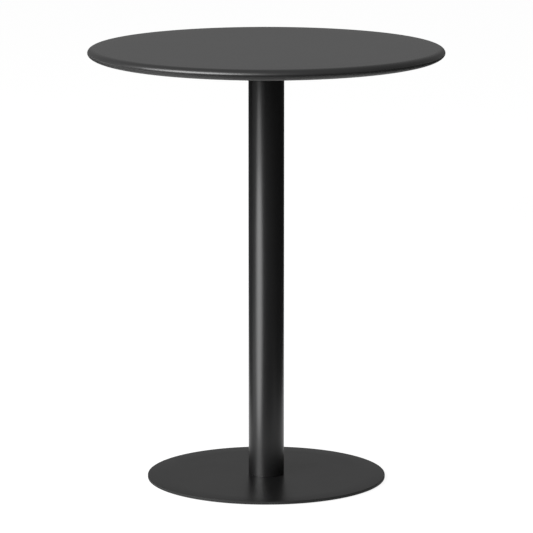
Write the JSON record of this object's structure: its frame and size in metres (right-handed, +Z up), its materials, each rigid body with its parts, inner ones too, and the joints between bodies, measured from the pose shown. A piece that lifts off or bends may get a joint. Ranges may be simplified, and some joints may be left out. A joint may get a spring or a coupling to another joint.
{
  "type": "round pedestal dining table",
  "caption": "Round dining table: a dark board top with a rounded, swept-back edge on a black steel column and a flat disc foot, held together by a tie rod inside the column.",
  "frame": {"origin": "middle of the floor under the table, on the column's axis", "axes": "+Z up along the column's axis; the picture is taken from -Y, with +X to its right"},
  "size_m": [0.5999, 0.6, 0.74],
  "materials": {
    "board_lacquer": "matte",
    "black_coat": "satin",
    "zinc_steel": "satin",
    "spring_steel": "satin",
    "turned_steel": "satin",
    "insert_brass": "satin",
    "pad_rubber": "matte"
  },
  "bodies": {
    "root": {"table_top": "board_lacquer", "threaded_inserts": "insert_brass", "mounting_plate": "black_coat", "plate_bolts": "zinc_steel", "flat_washers": "zinc_steel", "spring_washers": "spring_steel", "column_tube": "black_coat", "column_cap": "black_coat", "foot_boss": "turned_steel", "tie_rod": "zinc_steel", "rod_flat_washer": "zinc_steel", "rod_spring_washer": "spring_steel", "rod_nut": "zinc_steel", "base_plate": "black_coat", "foot_screws": "zinc_steel", "glide_pad_1": "pad_rubber", "glide_pad_2": "pad_rubber", "glide_pad_3": "pad_rubber", "glide_pad_4": "pad_rubber", "glide_pad_5": "pad_rubber", "glide_pad_6": "pad_rubber"}
  },
  "joints": []
}
